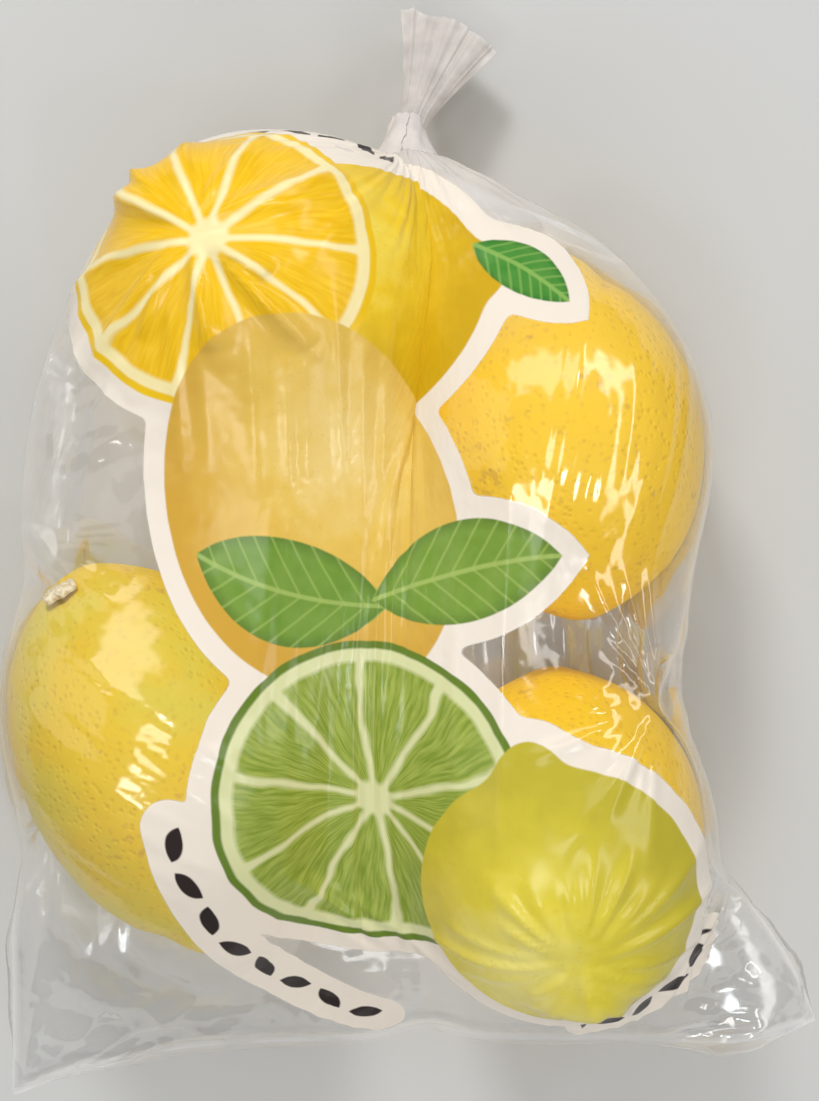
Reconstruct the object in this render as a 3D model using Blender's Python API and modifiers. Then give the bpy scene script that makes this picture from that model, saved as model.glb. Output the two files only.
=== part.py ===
"""A clear film bag of four lemons, gathered and taped at the neck, lying on its back.

Metres, +Z up. The origin is on the floor, under the middle of the object's outline. +Y runs from the
bottom seam to the neck, +X is to the right of the printed face, and the printed face looks up.
"""

import math

import bmesh
import bpy
import numpy as np
from mathutils import Vector

# The four lemons, seen from above. Heading is the direction of the tip, counted from +X towards +Y,
# and lift is how far the tip points up, both in degrees.
LEMONS = {
    "upper_left": {"centre": (-0.0325, 0.0554), "length": 0.086, "girth": 0.066, "heading": 135, "lift": 32},
    "upper_right": {"centre": (0.0344, 0.0253), "length": 0.087, "girth": 0.065, "heading": 97, "lift": 6},
    "lower_left": {"centre": (-0.0593, -0.0480), "length": 0.092, "girth": 0.066, "heading": -65, "lift": -3},
    "lower_right": {"centre": (0.0344, -0.0632), "length": 0.081, "girth": 0.064, "heading": -84, "lift": 16},
}
TIP_HEIGHT = 0.0055
TIP_SPREAD = 0.30
STEM_END_HEIGHT = 0.0020
STEM_END_SPREAD = 0.22
FILM_GAP = 0.0005

# The creases that the film folds along at its two sides, from the bottom corner to the neck
LEFT_CREASE = [
    (-0.0966, -0.1303, 0.0006),
    (-0.0955, -0.1060, 0.0080),
    (-0.0949, -0.0888, 0.0140),
    (-0.0916, -0.0717, 0.0200),
    (-0.0921, -0.0622, 0.0250),
    (-0.0951, -0.0406, 0.0330),
    (-0.0935, -0.0222, 0.0330),
    (-0.0900, -0.0061, 0.0310),
    (-0.0909, 0.0077, 0.0290),
    (-0.0892, 0.0285, 0.0290),
    (-0.0840, 0.0469, 0.0320),
    (-0.0741, 0.0670, 0.0380),
    (-0.0639, 0.0804, 0.0410),
    (-0.0525, 0.0919, 0.0400),
    (-0.0376, 0.0967, 0.0360),
    (-0.0173, 0.0952, 0.0320),
]
RIGHT_CREASE = [
    (0.0966, -0.1121, 0.0006),
    (0.0897, -0.0972, 0.0040),
    (0.0801, -0.0836, 0.0080),
    (0.0709, -0.0742, 0.0150),
    (0.0683, -0.0643, 0.0260),
    (0.0655, -0.0522, 0.0330),
    (0.0619, -0.0430, 0.0340),
    (0.0559, -0.0337, 0.0340),
    (0.0607, -0.0199, 0.0340),
    (0.0638, -0.0038, 0.0340),
    (0.0674, 0.0146, 0.0330),
    (0.0680, 0.0284, 0.0330),
    (0.0638, 0.0445, 0.0330),
    (0.0557, 0.0583, 0.0330),
    (0.0418, 0.0721, 0.0320),
    (0.0200, 0.0816, 0.0305),
]

# The bottom seam, a nearly straight line that the corners of the bag pull out of
SEAM_Y = -0.1170
LEFT_CORNER_DROP = 0.0133
LEFT_CORNER_REACH = 0.024
RIGHT_CORNER_RISE = 0.0049
RIGHT_CORNER_REACH = 0.010
SEAM_NOTCH = 0.0034
SEAM_NOTCH_X = 0.0034
SEAM_NOTCH_REACH = 0.0085
SEAM_THICKNESS = 0.0012
SEAM_TAPER = 0.004
RIGHT_CURL = {"height": 0.0070, "from_corner": 0.022, "reach": 0.016}
LEFT_CURL = {"height": 0.0035, "from_corner": 0.026, "reach": 0.014}

# The neck, the tape round it and the loose gathered end above it
NECK_BASE = (-0.0018, 0.0892, 0.0285)
NECK_TOP = (-0.0016, 0.1012, 0.0225)
NECK_BASE_RADIUS = 0.0070
NECK_TOP_RADIUS = 0.0028
TUFT_LENGTH = 0.0262
TUFT_BASE_WIDTH = 0.0080
TUFT_WIDTH = 0.0252
TUFT_HEADING = math.radians(66.5)
TUFT_DROP = 0.0115
TUFT_THICKNESS = 0.0030
TUFT_FOLDS = 5
TUFT_FOLD_DEPTH = 0.0017
TAPE_START = 0.06
TAPE_END = 0.97
TAPE_STEPS = 5
TAPE_SIDES = 36
TAPE_GAP = 0.0004
TAPE_THICKNESS = 0.0008
TAPE_FLARE = 0.0006

# How finely the film is modelled
AROUND = 72
BAG_RINGS = 48
NECK_RINGS = 4
TUFT_RINGS = 7
PLEATS = 12
SHOULDER_PLEAT = 0.0009
SHOULDER_FROM_NECK = 0.020
SHOULDER_REACH = 0.022
SETTLING_STEPS = 700
HOOP_PULL = 0.30
NECK_HOOP_PULL = 0.04
FILM_SAG = 0.000035
SLACK_HEIGHT = 0.095

FILM_COLOUR = (0.80, 0.81, 0.80)
TAPE_COLOUR = (0.86, 0.84, 0.81)


def clear_scene():
    for obj in list(bpy.data.objects):
        bpy.data.objects.remove(obj)


def plain_material(name, colour, roughness):
    """A Principled material of one colour."""
    material = bpy.data.materials.new(name)
    material.use_nodes = True
    shader = material.node_tree.nodes["Principled BSDF"]
    shader.inputs["Base Color"].default_value = (*colour, 1)
    shader.inputs["Roughness"].default_value = roughness
    shader.inputs["Metallic"].default_value = 0
    return material


def lemon_frame(lemon):
    """The lemon's centre, resting on the floor through the film, and the direction of its tip."""
    heading, lift = math.radians(lemon["heading"]), math.radians(lemon["lift"])
    level = math.cos(lift)
    axis = np.array([level * math.cos(heading), level * math.sin(heading), math.sin(lift)])
    half_length, half_girth = lemon["length"] / 2, lemon["girth"] / 2
    rest_height = math.hypot(half_girth * math.cos(lift), (half_length - TIP_HEIGHT) * math.sin(lift))
    return np.array([*lemon["centre"], rest_height + FILM_GAP]), axis


def lemon_reach(lemon, angle):
    """How far the skin is from the centre, at an angle from the tip."""
    half_length = lemon["length"] / 2 - (TIP_HEIGHT + STEM_END_HEIGHT) / 2
    half_girth = lemon["girth"] / 2
    body = half_length * half_girth / np.hypot(half_girth * np.cos(angle), half_length * np.sin(angle))
    tip = TIP_HEIGHT * np.exp(-((angle / TIP_SPREAD) ** 2))
    stem_end = STEM_END_HEIGHT * np.exp(-(((math.pi - angle) / STEM_END_SPREAD) ** 2))
    return body + tip + stem_end


def pushed_out(points, lemon):
    """The points, with those inside the lemon moved out to just over its skin."""
    centre, axis = lemon_frame(lemon)
    offset = points - centre
    distance = np.linalg.norm(offset, axis=-1)
    angle = np.arccos(np.clip(offset @ axis / np.maximum(distance, 1e-9), -1, 1))
    reach = lemon_reach(lemon, angle) + FILM_GAP
    grow = np.where(distance < reach, reach / np.maximum(distance, 1e-9), 1)
    return centre + offset * grow[..., None]


def along_crease(points, neck_side, shares):
    """Points spread evenly along a crease: a smooth curve through the named points and the neck's side."""
    knots = np.array([*points, neck_side])
    padded = np.vstack([2 * knots[0] - knots[1], knots, 2 * knots[-1] - knots[-2]])
    curve = []
    for before, start, end, after in zip(padded, padded[1:], padded[2:], padded[3:]):
        for t in np.linspace(0, 1, 12, endpoint=False):
            linear = (end - before) * t
            square = (2 * before - 5 * start + 4 * end - after) * t**2
            cubic = (3 * start - before - 3 * end + after) * t**3
            curve.append(start + (linear + square + cubic) / 2)
    curve = np.array([*curve, knots[-1]])
    length = np.append(0, np.cumsum(np.linalg.norm(np.diff(curve, axis=0), axis=1)))
    return np.stack([np.interp(shares * length[-1], length, curve[:, i]) for i in range(3)], axis=-1)


def curled(distance, curl):
    """How far the seam lifts off the floor, at a distance from its corner."""
    return curl["height"] * np.exp(-(((distance - curl["from_corner"]) / curl["reach"]) ** 2))


def seam_ring(across, side):
    """The bottom seam: across runs from 0 at the left corner to 1 at the right one."""
    left, right = LEFT_CREASE[0], RIGHT_CREASE[0]
    x = left[0] + (right[0] - left[0]) * across
    from_left, from_right = np.abs(x - left[0]), np.abs(right[0] - x)
    y = SEAM_Y - LEFT_CORNER_DROP * np.exp(-((from_left / LEFT_CORNER_REACH) ** 1.2))
    y = y + RIGHT_CORNER_RISE * np.exp(-((from_right / RIGHT_CORNER_REACH) ** 1.2))
    y = y + SEAM_NOTCH * np.exp(-(((x - SEAM_NOTCH_X) / SEAM_NOTCH_REACH) ** 2))
    middle = SEAM_THICKNESS / 2 + curled(from_left, LEFT_CURL) + curled(from_right, RIGHT_CURL)
    taper = np.clip(np.minimum(from_left, from_right) / SEAM_TAPER, 0, 1)
    z = middle + side * taper * SEAM_THICKNESS / 2
    return np.stack([x, y, z], axis=-1)


def round_ring(centre, forward, radius, turn):
    """A circle round the neck, starting at the left and running over the top to the right."""
    forward = np.array(forward) / np.linalg.norm(forward)
    across = np.array([1.0, 0, 0]) - forward[0] * forward
    across /= np.linalg.norm(across)
    up = np.cross(across, forward)
    radius = np.broadcast_to(radius, turn.shape)[:, None]
    return np.array(centre) + radius * (np.cos(turn)[:, None] * across + np.sin(turn)[:, None] * up)


def bag_before_settling(turn):
    """Slack film round all the lemons, as rings from the seam to the neck that are held at both creases."""
    index = np.arange(AROUND)
    half = AROUND // 2
    across = np.where(index <= half, index, AROUND - index) / half
    side = np.where(index <= half, 1.0, -1.0)
    side[[0, half]] = 0
    neck = round_ring(NECK_BASE, np.subtract(NECK_TOP, NECK_BASE), NECK_BASE_RADIUS, turn)
    shares = np.linspace(0, 1, BAG_RINGS)
    left = along_crease(LEFT_CREASE, neck[0], shares)[:, None]
    right = along_crease(RIGHT_CREASE, neck[half], shares)[:, None]
    rings = left + (right - left) * across[:, None]
    belly = np.sin(math.pi * shares)[:, None] ** 0.5 * np.sin(math.pi * across) ** 0.5
    crease_height = rings[..., 2]
    top = crease_height + (SLACK_HEIGHT - crease_height) * belly
    bottom = crease_height * (1 - belly)
    rings[..., 2] = np.where(side > 0, top, np.where(side < 0, bottom, crease_height))
    rings[0] = seam_ring(across, side)
    rings[-1] = neck
    return rings


def settled(rings):
    """The film drawn tight: each point moves to the mean of its neighbours, and stays out of the lemons,
    above the floor and clear of the other side of the bag."""
    share = np.linspace(0, 1, len(rings))[1:-1, None, None]
    hoop = HOOP_PULL + (NECK_HOOP_PULL - HOOP_PULL) * np.clip((share - 0.62) / 0.3, 0, 1)
    half = AROUND // 2
    front = np.arange(1, half)
    back = AROUND - front
    creases = rings[1:-1, [0, half]]
    for lemon in LEMONS.values():
        creases = pushed_out(creases, lemon)
    for _ in range(SETTLING_STEPS):
        along = (rings[:-2] + rings[2:]) / 2
        inner = rings[1:-1]
        around = (np.roll(inner, 1, axis=1) + np.roll(inner, -1, axis=1)) / 2
        inner = (1 - hoop) * along + hoop * around
        inner[..., 2] -= FILM_SAG
        for lemon in LEMONS.values():
            inner = pushed_out(inner, lemon)
        thickness = inner[:, front, 2] - inner[:, back, 2]
        lack = np.maximum(0, SEAM_THICKNESS - thickness) / 2
        inner[:, front, 2] += lack
        inner[:, back, 2] -= lack
        inner[..., 2] = np.maximum(inner[..., 2], 0)
        inner[:, front, 2] = np.maximum(inner[:, front, 2], SEAM_THICKNESS)
        inner[:, [0, half]] = creases
        rings[1:-1] = inner
    return rings


def pleated(rings):
    """The shoulders, with the folds that run together at the neck."""
    share_of_fold = np.cos(2 * math.pi * PLEATS * np.arange(AROUND) / AROUND)
    neck = np.array(NECK_BASE)
    along = np.gradient(rings, axis=0)
    around = np.roll(rings, -1, axis=1) - np.roll(rings, 1, axis=1)
    outward = np.cross(along, around)
    outward /= np.maximum(np.linalg.norm(outward, axis=-1, keepdims=True), 1e-9)
    distance = np.linalg.norm(rings - neck, axis=-1)
    depth = SHOULDER_PLEAT * np.exp(-(((distance - SHOULDER_FROM_NECK) / SHOULDER_REACH) ** 2))
    depth[0] = depth[-1] = 0
    folded = rings + outward * (depth * share_of_fold)[..., None]
    folded[..., 2] = np.maximum(folded[..., 2], 0)
    return folded


def core_radius(share):
    """The gathered neck's radius, from its base at 0 to the top of the tape at 1."""
    return NECK_BASE_RADIUS + (NECK_TOP_RADIUS - NECK_BASE_RADIUS) * math.sin(share * math.pi / 2)


def neck_rings(turn):
    """The gathered core that the tape holds."""
    base, top = np.array(NECK_BASE), np.array(NECK_TOP)
    rings = []
    for step in range(1, NECK_RINGS + 1):
        share = step / NECK_RINGS
        rings.append(round_ring(base + (top - base) * share, top - base, core_radius(share), turn))
    return rings


def tuft_rings(turn):
    """The loose end of the film: a folded fan that opens away from the tape."""
    heading = np.array([math.cos(TUFT_HEADING), math.sin(TUFT_HEADING), 0])
    sideways = np.array([heading[1], -heading[0], 0])
    top = np.array(NECK_TOP)
    rings = []
    for step in range(1, TUFT_RINGS + 1):
        share = step / TUFT_RINGS
        width = TUFT_BASE_WIDTH + (TUFT_WIDTH - TUFT_BASE_WIDTH) * share**0.75
        depth = 2 * NECK_TOP_RADIUS + (TUFT_THICKNESS - 2 * NECK_TOP_RADIUS) * math.sin(share * math.pi / 2)
        x = width / 2 * np.cos(turn)
        fold = TUFT_FOLD_DEPTH * share * np.cos(2 * math.pi * TUFT_FOLDS * x / width)
        z = depth / 2 * np.sin(turn) + fold - TUFT_DROP * share**1.3
        offset = np.full(AROUND, TUFT_LENGTH * share)
        rings.append(top + np.outer(offset, heading) + np.outer(x, sideways) + np.outer(z, [0, 0, 1]))
    return rings


def loft(name, rings, material, collection):
    """One closed solid through a row of rings, each with the same number of points."""
    bm = bmesh.new()
    rows = [[bm.verts.new(point) for point in ring] for ring in rings]
    count = len(rows[0])
    for low, high in zip(rows, rows[1:]):
        for i in range(count):
            j = (i + 1) % count
            bm.faces.new((low[i], low[j], high[j], high[i]))
    bm.faces.new(rows[0][::-1])
    bm.faces.new(rows[-1])
    bmesh.ops.triangulate(bm, faces=[f for f in bm.faces if len(f.verts) > 4])
    bmesh.ops.recalc_face_normals(bm, faces=bm.faces)
    mesh = bpy.data.meshes.new(name)
    bm.to_mesh(mesh)
    bm.free()
    mesh.materials.append(material)
    mesh.shade_smooth()
    obj = bpy.data.objects.new(name, mesh)
    collection.objects.link(obj)
    return obj


def film_bag(material, collection):
    """The whole bag with what it holds: body, neck and tuft in one piece."""
    turn = math.pi - 2 * math.pi * np.arange(AROUND) / AROUND
    body = pleated(settled(bag_before_settling(turn)))
    return loft("film_bag", [*body, *neck_rings(turn), *tuft_rings(turn)], material, collection)


def neck_tape(material, collection):
    """The tape wound round the neck: a turned sleeve that flares at its foot."""
    forward = Vector(NECK_TOP) - Vector(NECK_BASE)
    shares = np.linspace(TAPE_START, TAPE_END, TAPE_STEPS)
    inner = [(core_radius(share) + TAPE_GAP, share * forward.length) for share in shares]
    walls = TAPE_THICKNESS + TAPE_FLARE * (1 - shares)
    outer = [(radius + wall, z) for (radius, z), wall in zip(inner, walls)]
    profile = [*outer[::-1], *inner]
    mesh = bpy.data.meshes.new("neck_tape")
    edges = [(i, (i + 1) % len(profile)) for i in range(len(profile))]
    mesh.from_pydata([(radius, 0, z) for radius, z in profile], edges, [])
    mesh.materials.append(material)
    tape = bpy.data.objects.new("neck_tape", mesh)
    collection.objects.link(tape)
    turned = tape.modifiers.new("turned", "SCREW")
    turned.steps = turned.render_steps = TAPE_SIDES
    turned.use_merge_vertices = True
    turned.merge_threshold = 0.00001
    tape.location = NECK_BASE
    tape.rotation_mode = "QUATERNION"
    tape.rotation_quaternion = forward.to_track_quat("Z", "Y")
    return tape


def main():
    clear_scene()
    collection = bpy.data.collections.new("bag_of_lemons")
    bpy.context.scene.collection.children.link(collection)
    film_bag(plain_material("clear_film", FILM_COLOUR, 0.15), collection)
    neck_tape(plain_material("white_tape", TAPE_COLOUR, 0.45), collection)


main()
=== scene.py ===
"""Looks for a clear printed film bag of lemons that lies on its back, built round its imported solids."""

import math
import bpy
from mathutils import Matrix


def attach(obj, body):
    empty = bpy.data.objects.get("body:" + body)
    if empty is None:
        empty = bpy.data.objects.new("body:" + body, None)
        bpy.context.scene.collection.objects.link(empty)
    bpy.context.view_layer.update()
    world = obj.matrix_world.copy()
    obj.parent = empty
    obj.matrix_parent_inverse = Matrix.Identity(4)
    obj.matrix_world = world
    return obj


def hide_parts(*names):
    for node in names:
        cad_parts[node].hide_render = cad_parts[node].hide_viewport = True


bl_info = {
    "name": "Bag of Lemons",
    "version": (1, 0, 0),
    "blender": (4, 5, 0),
    "location": "View3D > Sidebar > Lemons",
    "description": "Builds a clear printed film bag of lemons, gathered and taped at the neck",
    "category": "Add Mesh",
}

from functools import partialmethod

import bmesh
import bpy
import numpy as np
from bpy.props import FloatProperty, IntProperty, PointerProperty
from mathutils import Vector

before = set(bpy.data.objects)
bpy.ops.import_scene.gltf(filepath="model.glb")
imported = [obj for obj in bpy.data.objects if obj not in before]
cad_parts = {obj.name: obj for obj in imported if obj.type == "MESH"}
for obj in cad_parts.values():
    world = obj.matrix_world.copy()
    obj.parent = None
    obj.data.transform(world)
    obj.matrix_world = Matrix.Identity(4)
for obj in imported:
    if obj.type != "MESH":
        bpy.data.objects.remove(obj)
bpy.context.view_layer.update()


def table(names, *rows):
    """The rows as dictionaries that share their keys."""
    return [dict(zip(names.split(), row)) for row in rows]


# The four lemons, seen from above. Heading is the direction of the tip, counted from +X towards +Y, and lift is how
# far the tip points up, both in degrees. Green is how green the peel still is, warm how orange.
LEMONS = table(
    "name centre length girth heading lift green warm",
    ("upper_left", (-0.0325, 0.0554), 0.086, 0.066, 135, 32, 0.1, 0.5),
    ("upper_right", (0.0344, 0.0253), 0.087, 0.065, 97, 6, 0.0, 1.0),
    ("lower_left", (-0.0592, -0.0458), 0.097, 0.065, -67, -3, 0.55, 0.1),
    ("lower_right", (0.0344, -0.0632), 0.081, 0.064, -84, 16, 0.0, 0.8),
)
CALYX_LEMON = LEMONS[2]
TIP_HEIGHT = 0.0055
TIP_SPREAD = 0.30
STEM_END_HEIGHT = 0.0020
STEM_END_SPREAD = 0.22
COLLAR = {"depth": 0.0010, "at": 0.36, "spread": 0.10}
DIMPLE = {"depth": 0.0016, "spread": 0.10}
BUTTON_RISE = 0.20
BUTTON_SHIFT = -0.12
LEMON_SEGMENTS = 224
LEMON_RINGS = 144
# Dips in a lemon's skin: how many waves, how strong, and how many of them go round it at least and at most
DIPS = ((9, 1.0, 1.5, 4.5), (12, 0.25, 6, 14), (20, 0.10, 16, 34))
FILM_GAP = 0.0005
LEMON_SEED = 11

# The dried calyx: a low disc with a dented top, its rim drawn out into lobes that are long and short by turns
CALYX_CORNERS = 42
CALYX_RADIUS = 0.0042
CALYX_DEPTH = 0.0018
CALYX_INSETS = ((0.0009, -0.0003), (0.0007, 0.0005))
CALYX_LOBES = 14
CALYX_LOBE_REACH = (0.8, 1.3)
CALYX_SHORT_LOBE = 0.72
CALYX_SUNK = 0.0002
CALYX_ROUGHNESS = 0.0001
CALYX_SEED = 5

# The creases that the film folds along at its two sides, from the bottom corner to the neck
LEFT_CREASE = [
    (-0.0966, -0.1303, 0.0006), (-0.0955, -0.1060, 0.0080), (-0.0949, -0.0888, 0.0140), (-0.0916, -0.0717, 0.0200),
    (-0.0921, -0.0622, 0.0250), (-0.0951, -0.0406, 0.0330), (-0.0935, -0.0222, 0.0330), (-0.0900, -0.0061, 0.0310),
    (-0.0909, 0.0077, 0.0290), (-0.0892, 0.0285, 0.0290), (-0.0840, 0.0469, 0.0320), (-0.0741, 0.0670, 0.0380),
    (-0.0639, 0.0804, 0.0410), (-0.0525, 0.0919, 0.0400), (-0.0376, 0.0967, 0.0360), (-0.0173, 0.0952, 0.0320),
]
RIGHT_CREASE = [
    (0.0966, -0.1121, 0.0006), (0.0897, -0.0972, 0.0040), (0.0801, -0.0836, 0.0080), (0.0709, -0.0742, 0.0150),
    (0.0683, -0.0643, 0.0260), (0.0655, -0.0522, 0.0330), (0.0619, -0.0430, 0.0340), (0.0559, -0.0337, 0.0340),
    (0.0607, -0.0199, 0.0340), (0.0638, -0.0038, 0.0340), (0.0674, 0.0146, 0.0330), (0.0680, 0.0284, 0.0330),
    (0.0638, 0.0445, 0.0330), (0.0557, 0.0583, 0.0330), (0.0418, 0.0721, 0.0320), (0.0200, 0.0816, 0.0305),
]
CREASE_DIVISIONS = 12

# The bottom seam, a nearly straight line that the corners of the bag pull out of
SEAM_Y = -0.1170
LEFT_CORNER_DROP = 0.0133
LEFT_CORNER_REACH = 0.024
RIGHT_CORNER_RISE = 0.0049
RIGHT_CORNER_REACH = 0.010
CORNER_SHARPNESS = 1.2
SEAM_NOTCH = 0.0034
SEAM_NOTCH_X = 0.0034
SEAM_NOTCH_REACH = 0.0085
SEAM_THICKNESS = 0.0012
SEAM_TAPER = 0.004
RIGHT_CURL = {"height": 0.0070, "from_corner": 0.022, "reach": 0.016}
LEFT_CURL = {"height": 0.0035, "from_corner": 0.026, "reach": 0.014}

# The neck
NECK_BASE = (-0.0018, 0.0892, 0.0285)
NECK_TOP = (-0.0016, 0.1012, 0.0225)
NECK_BASE_RADIUS = 0.0070
NECK_TOP_RADIUS = 0.0028

# The coarse bag that is drawn tight first
AROUND = 72
BAG_RINGS = 48
SETTLING_STEPS = 700
HOOP_PULL = 0.30
NECK_HOOP_PULL = 0.04
NECK_PULL_FROM = 0.62
NECK_PULL_REACH = 0.3
FILM_SAG = 0.000035
SLACK_HEIGHT = 0.095
BELLY_FULLNESS = 0.5

# The fine sheets that the wrinkles form in
SHEET_ROWS = 305
FRONT_COLUMNS = 305
BACK_COLUMNS = 153
SMOOTHING_LEVELS = (4, 2, 1)
SMOOTHING_STEPS = 60
SMOOTHING_ALONG = 0.6
FLATTENING_STEP = 4
FLATTENING_STEPS = 500
EVENING = 0.9
EVENING_STEPS = 350

# Threads run between points of a sheet so many rows down and columns across, with a stiffness. Spans of two keep
# a fold as sharp or as blunt as it is.
THREADS = [(0, 1, 1.0), (1, 0, 1.0), (1, 1, 0.5), (1, -1, 0.5)]
SPANS = [(2, 0), (0, 2)]
PUFF_SPAN_PULL = 0.05
BUCKLE_SPAN_PULL = 0.12

# The film is puffed up by the air inside, then buckles. Each level takes every so many points, with so many passes,
# and a push outward or a random start. Film this near to a lemon sticks to it.
PUFF_SLACK = 0.006
PUFF_LEVELS = [(8, 60, 0.00008), (4, 80, 0.000024), (2, 40, 0.000006)]
EVEN_SLACK = 0.0010
BUCKLE_LEVELS = [(2, 50, 0.00010), (1, 50, 0.00003)]
CONTACT_PASSES = 4
GRIP_REACH = 0.0025
GRIP = 0.6

# The folds in the film, in metres on the flat film. A star's folds run out from its point, between two directions;
# a band's folds lie side by side along its heading; a crumple is made of flat facets.
STAR = "at reach turns count height width"
FOLD_STARS = table(
    STAR,
    ((-0.0060, 0.1040), 0.056, (-200, 20), 40, 0.0012, 0.0028),
    ((-0.0580, 0.0620), 0.044, (-180, 180), 12, 0.0040, 0.0040),
    ((0.0600, -0.0315), 0.038, (95, 265), 15, 0.0013, 0.0024),
    ((0.0380, -0.0830), 0.038, (-180, 180), 20, 0.0019, 0.0024),
    ((-0.0930, -0.0080), 0.034, (-65, 40), 9, 0.0010, 0.0022),
    ((-0.0920, -0.1530), 0.066, (28, 92), 8, 0.0020, 0.0040),
    ((0.0990, -0.1335), 0.050, (105, 190), 10, 0.0018, 0.0030),
    ((0.0680, -0.0970), 0.030, (-120, 60), 9, 0.0016, 0.0024),
)
BACK_STARS = table(STAR, ((-0.0018, 0.0860), 0.050, (-200, 20), 26, 0.0009, 0.003))
FOLD_BANDS = table(
    "at length spread heading count height width",
    ((-0.0660, -0.0560), 0.056, 0.040, -28, 15, 0.0007, 0.0015),
    ((-0.0080, -0.0200), 0.085, 0.062, -93, 9, 0.0010, 0.0038),
    ((0.0450, 0.0240), 0.064, 0.032, -98, 10, 0.0008, 0.0020),
    ((-0.0840, 0.0160), 0.050, 0.018, 78, 6, 0.0013, 0.0024),
    ((-0.0130, -0.0900), 0.045, 0.010, -40, 3, 0.0016, 0.0020),
    ((0.0100, -0.1240), 0.022, 0.130, 90, 26, 0.0008, 0.0016),
    ((-0.0300, 0.0300), 0.040, 0.060, -80, 9, 0.0010, 0.0026),
)
CRUMPLE = "at reach height wave slack"
CRUMPLES = table(
    CRUMPLE,
    ((-0.0660, -0.1210), (0.050, 0.027), 0.0038, 0.034, 0.020),
    ((0.0830, -0.1150), (0.026, 0.028), 0.0042, 0.028, 0.022),
    ((-0.0840, 0.0140), (0.018, 0.042), 0.0034, 0.028, 0.025),
    ((0.0620, -0.0280), (0.018, 0.018), 0.0022, 0.020, 0.020),
    ((0.0200, 0.0800), (0.034, 0.016), 0.0012, 0.020, 0.015),
)
BACK_CRUMPLES = table(
    CRUMPLE,
    ((0.0, -0.0950), (0.090, 0.020), 0.0, 0.020, 0.015),
    ((0.0, 0.0200), (0.090, 0.060), 0.0, 0.020, 0.008),
)
# A crumple's facets lie between folds of these sizes, laid over each other, which bend a little as they run
FACET_SHARES = (0.40, 0.32, 0.24, 0.17, 0.12)
CREASE_BEND = 0.0016
CREASE_BEND_WAVE = 0.045

# The film's surface. The flat film, in metres, fills a square map of this width.
FLAT_WIDTH = 0.4
SEAM_HEM_STEP = 0.25
CREASE_HEM = (0.8, 0.4)
FILM_MIRROR = 2.2
MOST_OPAQUE = 0.82
CLEAR_TINT = (0.92, 0.91, 0.89)
# Near the neck the milky film takes this darker beige: painted shade of the dim inside of the neck.
SHOULDER_SHADE = (0.54, 0.48, 0.42)

# The print, in metres and degrees on the flat film, with colours as they look on screen
PRINT_EDGE = 0.0002
BORDER = 0.0048
BORDER_ROUNDING = 0.003
# How far from a fruit or slice, from a leaf, and from a row's side and end there may still be ink
FRUIT_MARGIN = 0.012
LEAF_MARGIN = 0.008
ROW_MARGIN = 0.002
ROW_END_MARGIN = 12
SEGMENTS = 10
PRINT_WHITE = (238, 227, 212)
PRINT_DARK = (42, 32, 30)
DARK_GREEN = (0.01, 0.05, 0.01)
# centre, turn, half length, half width, peel, shade, shine
PRINTED_FRUIT = [
    ((-0.0180, 0.0600), 8, 0.034, 0.029, (240, 202, 40), (205, 165, 25), (248, 228, 110)),
    ((-0.0250, 0.0080), -62, 0.042, 0.034, (230, 192, 88), (208, 162, 60), (240, 212, 136)),
    ((0.0340, -0.0760), 100, 0.034, 0.032, (228, 210, 66), (190, 176, 52), (242, 230, 138)),
]
# centre, turn, radius, rind, pith, flesh, pulp
PRINTED_WHEELS = [
    ((-0.0540, 0.0600), 10, 0.0350, (238, 194, 22), (248, 232, 172), (236, 184, 12), (245, 199, 38)),
    ((-0.0080, -0.0570), 25, 0.0375, (100, 126, 38), (216, 218, 164), (128, 150, 50), (166, 180, 82)),
]
PRINT_ORDER = (0, 3, 1, 4, 2)
# centre, turn, length, width, blade, vein
PRINTED_LEAVES = [
    ((-0.0290, -0.0100), 172, 0.046, 0.023, (106, 144, 46), (160, 184, 94)),
    ((0.0120, -0.0030), 14, 0.046, 0.022, (112, 148, 48), (166, 188, 98)),
    ((0.0240, 0.0640), -38, 0.026, 0.012, (60, 134, 48), (140, 180, 90)),
]
# centre, turn, radius, half angle, step, half width of the band
PRINTED_ROWS = [
    ((0.0220, -0.0500), -142, 0.0760, 29, 7.5, 0.0060),
    ((-0.0330, 0.0550), 96, 0.0440, 30, 12.0, 0.0050),
    ((0.0340, -0.0760), -50, 0.0405, 28, 13.0, 0.0050),
]

# The tuft of gathered film beyond the tape
TUFT_LENGTH = 0.0262
TUFT_BASE_WIDTH = 0.0080
TUFT_WIDTH = 0.0252
TUFT_HEADING = 66.5
TUFT_DROP = 0.0115
TUFT_TUCK = 0.35
TUFT_OPENS_AT = 0.18
TUFT_AROUND = 480
TUFT_ROWS = 90
TUFT_LAYERS = (1.0, 0.5)
# Pleats laid over each other: how many across the tuft, and how high
TUFT_FOLDS = ((2.3, 0.6), (5.2, 0.42), (9.5, 0.24), (17.0, 0.10))
TUFT_IOR = 1.7
TUFT_SEED = 3

# The tape round the neck, with rows as shares of the way from the neck's base to its top
TAPE_START = -0.02
TAPE_APRON = 0.42
TAPE_FLARE = 0.0040
TAPE_END = 0.98
TAPE_TURN = 2 * math.pi + 0.9
TAPE_COLUMNS = 180
TAPE_ROWS = 36
TAPE_OFF_NECK = 0.0003
TAPE_LAP = 0.0005
TAPE_CREASES = 10
TAPE_CREASE_HEIGHT = 0.0005
TAPE_THICKNESS = 0.00022
TAPE_OUTER_END = math.radians(100)
TAPE_SEED = 9

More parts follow.
